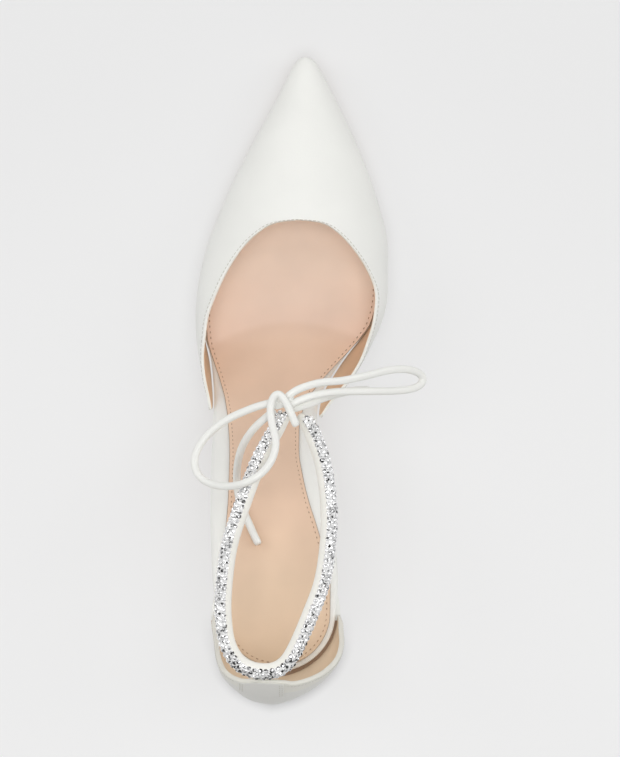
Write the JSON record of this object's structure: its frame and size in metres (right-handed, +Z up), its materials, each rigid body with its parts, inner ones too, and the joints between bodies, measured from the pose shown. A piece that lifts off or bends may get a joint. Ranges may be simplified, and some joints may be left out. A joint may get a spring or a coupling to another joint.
{
  "type": "ankle strap pump",
  "caption": "Pointed d'Orsay pump on a slim covered heel, left foot, with a rolled ankle strap paved with clear stones and a tied leather lace bow.",
  "frame": {"origin": "on the floor under the flat of the ball tread, where the outsole rests", "axes": "+Y to the toe, +X to the medial side of a left foot, +Z up from the floor"},
  "size_m": [0.0887, 0.2444, 0.1257],
  "materials": {
    "white_leather": "smooth white nappa leather, soft sheen",
    "sock_leather": "smooth beige sock leather, fine stitching near its edge",
    "sole_leather": "smooth tan sole leather",
    "lift": "matte beige wear piece",
    "clear_stones": "faceted clear stones set close together"
  },
  "bodies": {
    "root": {"outsole": "sole_leather", "heel": "white_leather", "top_lift": "lift", "insole_board": "white_leather", "sock": "sock_leather", "vamp": "white_leather", "heel_counter": "white_leather", "ankle_strap": "white_leather", "crystal_band": "clear_stones", "lace_knot": "white_leather", "lace_loop_left": "white_leather", "lace_loop_right": "white_leather", "lace_end_left": "white_leather", "lace_end_right": "white_leather"}
  },
  "joints": []
}
